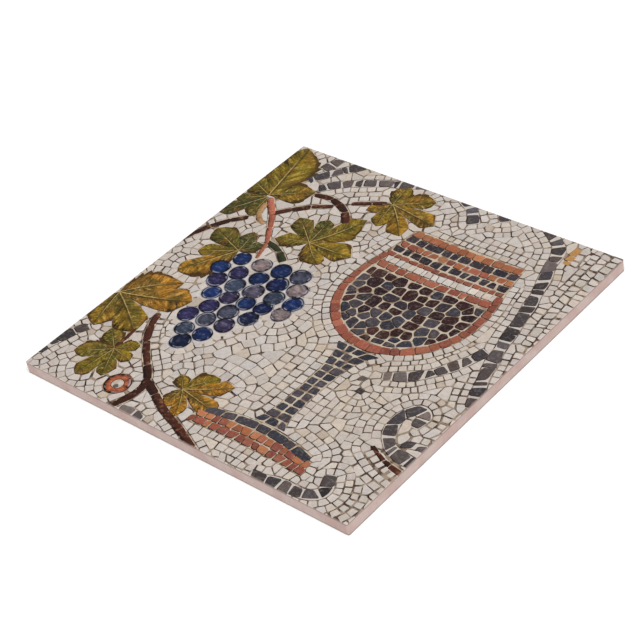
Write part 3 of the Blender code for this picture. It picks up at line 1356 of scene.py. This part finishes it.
def lay_pebbles():
    """Round slate and maroon pebbles inside the bowl."""
    room = np.zeros(grid_x.shape, bool)
    cover(room, wall_within(bowl_curve(90, -270)[:-1], PEBBLE_GAP)[0])
    room &= grid_y < wine_top
    seeds = []
    bottom = BOWL_MIDDLE - BOWL_DEPTH
    middle = np.array((GOBLET_AXIS, BOWL_MIDDLE))
    for y in np.arange(wine_top - FIRST_ROW, bottom, -PEBBLE_ROW):
        for x in np.arange(-ROW_HALF_WIDTH, ROW_HALF_WIDTH, PEBBLE_PITCH) + rng.uniform(0, PEBBLE_PITCH):
            seed = np.array((GOBLET_AXIS + x, y)) + rng.normal(0, PEBBLE_JITTER, 2)
            for pull in (0.0, INWARD):
                place = seed + (middle - seed) * pull
                cell = ((place + REACH) / RASTER).astype(int)
                if room[cell[1], cell[0]]:
                    seeds.append(place)
                    break
    owner = np.full(grid_x.shape, -1)
    share_out(owner, seeds, np.where(room, 0, -1), None, PEBBLE_REACH)
    for number, outline in outlines_of(owner, len(seeds), smallest_corner=0.25, smallest_stone=3.0):
        maroon = np.interp(seeds[number][1], (bottom, wine_top), MAROON_SHARES)
        tint = varied(MAROON if rng.random() < maroon else SLATE + DARK_SLATE[:1], PEBBLE_SPREAD)
        lay_stone(worn_round(outline, rng.uniform(*PEBBLE_WEAR)), tint, shadow=0.6)


lay_pebbles()
print("patches in all:", len(patches))

# %% [markdown]
# All outlines now go into one flat sheet. Overlapping faces would flicker, and cutting them by hand with
# the knife would never end. Blender's constrained Delaunay triangulation cuts every outline into the others
# and says which outlines each triangle lies in. The one in the uppermost layer wins, and a triangle in none
# is the ground's mortar. The sheet itself is the first outline, and ends where the slab's eased rim begins.

# %% Weave the sheet
SHEET_RIM = 0.25
SHEET_CORNER = 0.45
CORNER_POINTS = 7
SHEET_RISE = 0.03 * MM
INSIDE_ONLY = 1
SAME_PLACE = 1e-5
FINISH_ORDER = ["ground_bed", "pale_bed", "shadow", "stone", "glass", "leaf", "wood"]


def sheet_outline():
    """The flat of the face: a square with round corners, inside the slab's eased rim."""
    half = (cad_high.x - cad_low.x) / MM / 2 - SHEET_RIM
    middle = half - SHEET_CORNER
    corners = []
    for start in (0, 90, 180, 270):
        turn = math.radians(start + 45)
        centre = np.array((math.copysign(middle, math.cos(turn)), math.copysign(middle, math.sin(turn))))
        arc = np.radians(np.linspace(start, start + 90, CORNER_POINTS))
        corners.append(centre + np.stack([np.cos(arc), np.sin(arc)], 1) * SHEET_CORNER)
    return np.vstack(corners)


def turned_left(outline):
    """An outline with its corners in anticlockwise order, as the triangulation needs them."""
    return outline if area_of(outline) > 0 else outline[::-1]


def weave():
    """Cut all outlines into one sheet. Returns its corners, its triangles and the patch of each."""
    outlines = [sheet_outline()] + [patch.outline for patch in patches]
    corners, loops = [], []
    for outline in outlines:
        loops.append(list(range(len(corners), len(corners) + len(outline))))
        corners += [Vector(point) for point in turned_left(outline).tolist()]
    made = geometry.delaunay_2d_cdt(corners, [], loops, INSIDE_ONLY, SAME_PLACE, True)
    cut_corners, _, faces, _, _, owners_of = made
    points = np.array([tuple(point) for point in cut_corners])
    triangles, winners = [], []
    for triangle, owners in zip(faces, owners_of):
        if 0 in owners:
            own = [number - 1 for number in owners if number]
            triangles.append(triangle)
            winners.append(min(own, key=lambda number: (patches[number].rank, number), default=-1))
    return points, triangles, winners


points, triangles, winners = weave()
print("sheet:", len(points), "corners,", len(triangles), "triangles")

# %% [markdown]
# The triangles become a mesh, written from lists because no modelling tool sets so many corners. The
# corners of each triangle carry three values to the shader: the stone's colour, the place within it, and
# how its frame lies to the light that the picture is painted with. Each triangle's material number says its
# finish.

# %% Make the skin


def carry_values(mesh):
    """Give each triangle of the sheet its finish, and its corners the values that the shaders read."""
    count = len(triangles)
    within = np.zeros((count * 3, 3), np.float32)
    slant = np.zeros((count * 3, 3), np.float32)
    tint = np.ones((count * 3, 4), np.float32)
    finish = np.zeros(count, np.int32)
    for number, winner in enumerate(winners):
        if winner < 0:
            continue
        patch = patches[winner]
        three = slice(number * 3, number * 3 + 3)
        corner_points = points[list(triangles[number])]
        within[three, 0], within[three, 1], slant[three, 2] = patch.within(corner_points)
        within[three, 2] = patch.chance
        slant[three, 0] = patch.axis @ RELIEF_LIGHT
        slant[three, 1] = patch.across @ RELIEF_LIGHT
        tint[three, :3] = patch.tint
        finish[number] = FINISH_ORDER.index(patch.finish)
    for name, kind, values in (("within", "FLOAT_VECTOR", within), ("slant", "FLOAT_VECTOR", slant)):
        mesh.attributes.new(name, kind, "CORNER").data.foreach_set("vector", values.ravel())
    mesh.attributes.new("tint", "FLOAT_COLOR", "CORNER").data.foreach_set("color", tint.ravel())
    mesh.polygons.foreach_set("material_index", finish)


def make_skin():
    """The mesh of the picture, one flat sheet so far."""
    used = sorted({corner for triangle in triangles for corner in triangle})
    place = {corner: number for number, corner in enumerate(used)}
    height = cad_high.z + SHEET_RISE
    corners = [(x * MM, y * MM, height) for x, y in points[used]]
    faces = [[place[corner] for corner in triangle] for triangle in triangles]
    mesh = bpy.data.meshes.new("mosaic_glaze")
    mesh.from_pydata(corners, [], faces)
    carry_values(mesh)
    mesh.update()
    skin = bpy.data.objects.new("mosaic_glaze", mesh)
    bpy.context.collection.objects.link(skin)
    return skin


picture = make_skin()
print("picture skin:", len(picture.data.vertices), "corners")

# %% [markdown]
# The print runs over the slab's eased rim to its very edge, and the glaze is a closed skin and not a sheet
# of paper. So in edit mode the open border is selected and extruded a few times, each time a little lower
# and a little wider, which leads it round the rim. A last turn goes back into the slab, where it doesn't
# show, and the loop is filled. The map for later baking lays the picture flat, the hidden turn as a thin
# frame round it and the hidden underside in a strip at the margin.

# %% Close and unwrap the skin
RIM_TURNS = [math.radians(turn) for turn in (0, 20, 40, 60)]
MAP_SHARE = 0.96
MAP_FRAME = 0.02
MAP_STRIP = 0.01
DOWNWARD = -0.9


def close_skin(skin):
    """Lead the border round the rim, turn it into the slab and fill it."""
    bpy.ops.object.select_all(action="DESELECT")
    skin.select_set(True)
    bpy.context.view_layer.objects.active = skin
    bpy.ops.object.mode_set(mode="EDIT")
    bpy.ops.mesh.select_mode(type="EDGE")
    bpy.ops.mesh.select_all(action="DESELECT")
    bpy.ops.mesh.select_non_manifold(extend=False)
    rim = SHEET_RIM * MM + SHEET_RISE
    side = cad_high.x - SHEET_RIM * MM
    rings = [(side + rim * math.sin(turn), rim * math.cos(turn)) for turn in RIM_TURNS]
    rings.append((side, 0.0))
    for (wide, high), (next_wide, next_high) in zip(rings, rings[1:]):
        bpy.ops.mesh.extrude_region_move(TRANSFORM_OT_translate={"value": (0, 0, next_high - high)})
        bpy.ops.transform.resize(value=(next_wide / wide, next_wide / wide, 1), center_override=(0, 0, 0))
    bpy.ops.mesh.edge_face_add()
    bpy.ops.object.mode_set(mode="OBJECT")


def unwrap_skin(skin):
    """Lay the map out from the corners' places."""
    mesh = skin.data
    layout = mesh.uv_layers.new(name="OFBake")
    side = cad_high.x - cad_low.x
    hidden = min(vertex.co.z for vertex in mesh.vertices) + SHEET_RISE / 2
    for face in mesh.polygons:
        for loop in face.loop_indices:
            spot = mesh.vertices[mesh.loops[loop].vertex_index].co
            u, v = spot.x / side, spot.y / side
            if face.normal.z < DOWNWARD:
                layout.data[loop].uv = (0.5 + u * MAP_SHARE, (v + 0.5) * MAP_STRIP)
            else:
                share = MAP_SHARE if spot.z > hidden else MAP_SHARE + MAP_FRAME
                layout.data[loop].uv = (0.5 + u * share, 0.5 + v * share)


close_skin(picture)
unwrap_skin(picture)
border = max(vertex.co.x for vertex in picture.data.vertices)
print("closed skin:", len(picture.data.polygons), "faces")
print("its border lies", round((cad_high.x - border) / MM, 3), "mm inside the slab's")

# %% [markdown]
# Each kind of area gets its own finish. All of them lie under the same clear glaze, so they share one
# roughness and one gloss, and differ only in colour. Along the tile's edge the print is made a little paler
# by a painted highlight, where the glazed rim catches the light; a soft step on the distance from the middle
# gives it to all of them, made uneven with noise.

# %% Glaze and painted rim highlight
GLAZE = {"roughness": 0.25, "gloss": 0.22}
RIM_HIGHLIGHT_WIDTH = 0.4 * MM
RIM_HIGHLIGHT_SHARE = 0.4
RIM_HIGHLIGHT_PALE = painted(204, 186, 174)


def print_colour(finish, colour):
    """Feed a colour of the print, made paler along the tile's edge by a painted highlight of the glazed rim.
    """
    place = finish.parts(finish.add("ShaderNodeTexCoord", output="Object"))
    outward = finish.add("ShaderNodeMath", {"operation": "MAXIMUM"}, {0: abs(place[0]), 1: abs(place[1])})
    outward = outward + finish.noise(500, 3.0) * RIM_HIGHLIGHT_WIDTH
    # worn here is a painted highlight: the print paler along the edge, where the glazed rim catches the
    # light
    worn = finish.step(outward, cad_high.x - RIM_HIGHLIGHT_WIDTH, cad_high.x + RIM_HIGHLIGHT_WIDTH)
    finish.feed(finish.shader.inputs["Base Color"], finish.blend(worn * RIM_HIGHLIGHT_SHARE, colour, RIM_HIGHLIGHT_PALE))


# %% [markdown]
# Mortar is sandy and patchy. Three finishes come from one function: the ground's mortar, the pale mortar
# round the figures and the shadow beside a stone. Noise of two sizes, one for patches and one for grains,
# is enough for areas that are so narrow.

# %% Mortar


def mortar(name, light, dark, share):
    """Mortar between stones, from sandy to dark."""
    bed = Finish(name, **GLAZE)
    patchy = bed.step(bed.noise(320, 3.0), share - 0.12, share + 0.12)
    colour = bed.blend(patchy, dark, light)
    colour = bed.shade(colour, 0.5 + bed.noise(3000, 2.0) * 0.5)
    print_colour(bed, colour)
    return bed.material


finishes = {
    "ground_bed": mortar("ground_mortar", painted(172, 152, 132), painted(84, 64, 50), 0.5),
    "pale_bed": mortar("pale_mortar", painted(212, 196, 174), painted(142, 116, 92), 0.44),
    "shadow": mortar("joint_shadow", painted(108, 86, 70), BED_DARK, 0.6),
}
print("mortar finishes:", [finish.name for finish in finishes.values()])


# %% [markdown]
# A stone is clouded and grained, with a few pale facets, and its edges catch the painted light on one side
# and lie dark on the other. The place within the stone gives that: its fifth power is nearly nothing in the
# middle and rises only along the edges. A faint warm stain, far broader than a stone, varies the whole
# ground.

# %% Cut stone
STAIN = painted(252, 247, 236)
FACET_PALE = painted(180, 166, 156)


def cut_stone():
    """Stones: clouded and grained, with edges that catch the painted light on one side."""
    stone = Finish("cut_stone", **GLAZE)
    along, across, _ = stone.parts(stone.attribute("within", "Vector"))
    slant_along, slant_across, _ = stone.parts(stone.attribute("slant", "Vector"))
    tint = stone.attribute("tint", "Color")
    edges = along**5 * slant_along + across**5 * slant_across
    rim = stone.step(abs(along) ** 4 + abs(across) ** 4, 0.55, 1.5)
    clouds = stone.noise(900, 4.0, roughness=0.65)
    grain = stone.noise(2600, 3.0, roughness=0.7)
    level = 0.34 + clouds * 0.52 + grain * 0.42 + edges * 0.14 - rim * 0.24
    stain = stone.step(stone.noise(30, 3.0), 0.45, 0.7)
    colour = stone.blend(stain * 0.5, tint, stone.blend(1.0, tint, STAIN, how="MULTIPLY"))
    colour = stone.shade(colour, level)
    facets = stone.step(stone.noise(1100, 3.0), 0.5, 0.66) * (1 - rim)
    colour = stone.blend(facets * 0.12, colour, FACET_PALE)
    print_colour(stone, colour)
    return stone.material


finishes["stone"] = cut_stone()
print("stone:", len(finishes["stone"].node_tree.nodes), "shader nodes")


# %% [markdown]
# A grape is a disc of glass with a dark rim, brushed streaks and dabs of light. The place within the disc
# gives the distance from its middle, for the dark rim and for a line of light just inside it. A second
# noise breaks that line into arcs, because with a whole one the grapes would look like beads.

# %% Grape glass
GLASS_PALE = painted(190, 188, 196)
GLASS_GLINT = painted(186, 186, 220)
GLASS_EDGE = painted(206, 206, 220)


def grape_glass():
    """Round glass: a dark rim, brushed streaks, pale dabs, and a worn line of light inside the rim."""
    glass = Finish("grape_glass", **GLAZE)
    along, across, chance = glass.parts(glass.attribute("within", "Vector"))
    tint = glass.attribute("tint", "Color")
    pale = glass.blend(0.42, tint, GLASS_PALE)
    radius = (along * along + across * across) ** 0.5
    rim = glass.step(radius, 0.68, 1.0)
    heart = 1 - glass.step(radius, 0.0, 0.9)
    place = glass.add("ShaderNodeCombineXYZ", None, {0: along * 1.7, 1: across * 3.0, 2: chance * 60.0})
    streaks = glass.noise(1.1, 5.0, where=place, roughness=0.65)
    level = heart * 0.3 + streaks * 2.9 - rim * 0.6 - 0.8
    colour = glass.shade(tint, level)
    light = glass.step(streaks, 0.55, 0.74) * (1 - rim)
    colour = glass.blend(light * 0.4, colour, pale)
    glint = ((along + chance * 0.5 - 0.2) ** 2 + (across + 0.1) ** 2) ** 0.5 + streaks * 0.5
    colour = glass.blend((1 - glass.step(glint, 0.26, 0.5)) * 0.06, colour, GLASS_GLINT)
    crescent = glass.step(radius, 0.74, 0.84) * (1 - glass.step(radius, 0.87, 0.95))
    round_about = glass.add("ShaderNodeCombineXYZ", None, {0: along, 1: across, 2: chance * 70.0})
    crescent = crescent * glass.step(glass.noise(1.3, 1.0, where=round_about) + streaks * 0.2, 0.6, 0.7)
    colour = glass.blend(crescent * 0.6, colour, glass.blend(0.35, pale, GLASS_EDGE))
    print_colour(glass, colour)
    return glass.material


finishes["glass"] = grape_glass()
print("glass:", len(finishes["glass"].node_tree.nodes), "shader nodes")


# %% [markdown]
# The leaves look painted wet in wet, gold or green over olive with brown clouds, and their folds run
# forward from the vein on both sides. A noise that is stretched along the folds gives the strokes of the
# brush, a ping-pong wave gives the fine ribs, and the vein is a thin pale line with a shadow beside it,
# drawn where the distance from the lobe's middle line is nearly nothing.

# %% Vine leaf
LEAF_DEEP = painted(70, 68, 28)
LEAF_BROWN = painted(120, 78, 32)
LEAF_LIGHT = painted(208, 184, 124)
FOLD_DARK = painted(56, 44, 10)
FOLD_PALE = painted(198, 166, 96)
LEAF_RIM = painted(60, 40, 14)
VEIN_SHADOW = painted(54, 40, 10)
VEIN_PALE = painted(200, 172, 108)


def vine_leaf():
    """Leaves: painted wet in wet, darker along the rim, with veins that fade towards the tips."""
    leaf = Finish("vine_leaf", **GLAZE)
    along, out, chance = leaf.parts(leaf.attribute("within", "Vector"))
    _, slant_across, aside = leaf.parts(leaf.attribute("slant", "Vector"))
    tint = leaf.attribute("tint", "Color")
    forward = along - abs(aside) * 0.9
    backward = along + abs(aside)
    stretched = {0: forward * 15.0, 1: backward * 4.0, 2: chance * 40.0 + aside}
    place = leaf.add("ShaderNodeCombineXYZ", None, stretched)
    strokes = leaf.noise(1.0, 5.0, where=place, roughness=0.65)
    washes = leaf.noise(130, 3.0, roughness=0.55)
    fine = leaf.noise(1500, 4.0, roughness=0.7)
    rim = leaf.step(abs(out), 0.6, 1.0)
    ripe = leaf.step(washes * 1.6 + abs(out) * 0.3 + along * 0.25, 0.85, 1.25)
    colour = leaf.blend(ripe, leaf.blend(0.7, tint, LEAF_DEEP), tint)
    brown = leaf.step(leaf.noise(210, 3.0) + abs(out) * 0.12, 0.54, 0.7)
    colour = leaf.blend(brown * 0.5, colour, LEAF_BROWN)
    level = strokes * 3.1 + fine * 2.2 + along * 0.1 + out * slant_across * 0.42 - rim * 0.26 - 1.82
    colour = leaf.shade(colour, level)
    lights = leaf.step(strokes + fine * 0.5, 0.8, 0.94)
    lit = leaf.blend(0.5, leaf.shade(tint, 1.8), LEAF_LIGHT)
    colour = leaf.blend(lights * 0.5, colour, lit)
    ribs = leaf.add("ShaderNodeMath", {"operation": "PINGPONG"}, {0: forward * 4.5 + washes, 1: 0.5})
    rib_line = (1 - leaf.step(ribs, 0.005, 0.045)) * leaf.step(strokes, 0.42, 0.55)
    rib_shade = leaf.step(ribs, 0.03, 0.08) * (1 - leaf.step(ribs, 0.1, 0.26)) * (1 - rim)
    colour = leaf.blend(rib_shade * 0.22, colour, FOLD_DARK)
    colour = leaf.blend(rib_line * 0.22, colour, FOLD_PALE)
    colour = leaf.blend(leaf.step(abs(out), 0.8, 0.98) * 0.85, colour, LEAF_RIM)
    shadow = 1 - leaf.step(abs(aside + 0.014), 0.006, 0.036)
    colour = leaf.blend(shadow * 0.7, colour, VEIN_SHADOW)
    vein = (1 - leaf.step(abs(aside), 0.003, 0.013)) * (0.3 + leaf.step(strokes, 0.34, 0.56) * 0.7)
    vein = vein * (1 - leaf.step(along, 0.45, 0.8) * 0.8)
    colour = leaf.blend(vein * 0.75, colour, VEIN_PALE)
    print_colour(leaf, colour)
    return leaf.material


finishes["leaf"] = vine_leaf()
print("leaf:", len(finishes["leaf"].node_tree.nodes), "shader nodes")


# %% [markdown]
# Wood and tendrils look round although they are flat: light on one side, dark on the other and darkest at
# both rims, which is a formula in the place across the strip. Grain and paler patches break up the brown.

# %% Vine wood
WOOD_PALE = painted(170, 116, 84)


def vine_wood():
    """Wood and tendrils: rounded across, with a fine grain and paler patches."""
    wood = Finish("vine_wood", **GLAZE)
    _, across, _ = wood.parts(wood.attribute("within", "Vector"))
    _, slant_across, _ = wood.parts(wood.attribute("slant", "Vector"))
    tint = wood.attribute("tint", "Color")
    grain = wood.noise(1500, 3.0)
    level = 0.02 + grain * 1.5 + across * slant_across * 0.35 - abs(across) ** 3 * 0.45
    colour = wood.shade(tint, level)
    patchy = wood.step(wood.noise(420, 4.0), 0.54, 0.68)
    colour = wood.blend(patchy * 0.32, colour, WOOD_PALE)
    print_colour(wood, colour)
    return wood.material


finishes["wood"] = vine_wood()
print("wood:", len(finishes["wood"].node_tree.nodes), "shader nodes")


# %% [markdown]
# The sheet's triangles are numbered by finish, so the finishes go on it in the same order.

# %% Dress the picture
for name in FINISH_ORDER:
    picture.data.materials.append(finishes[name])
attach(picture, "root")
print("finishes on the picture:", len(picture.data.materials))
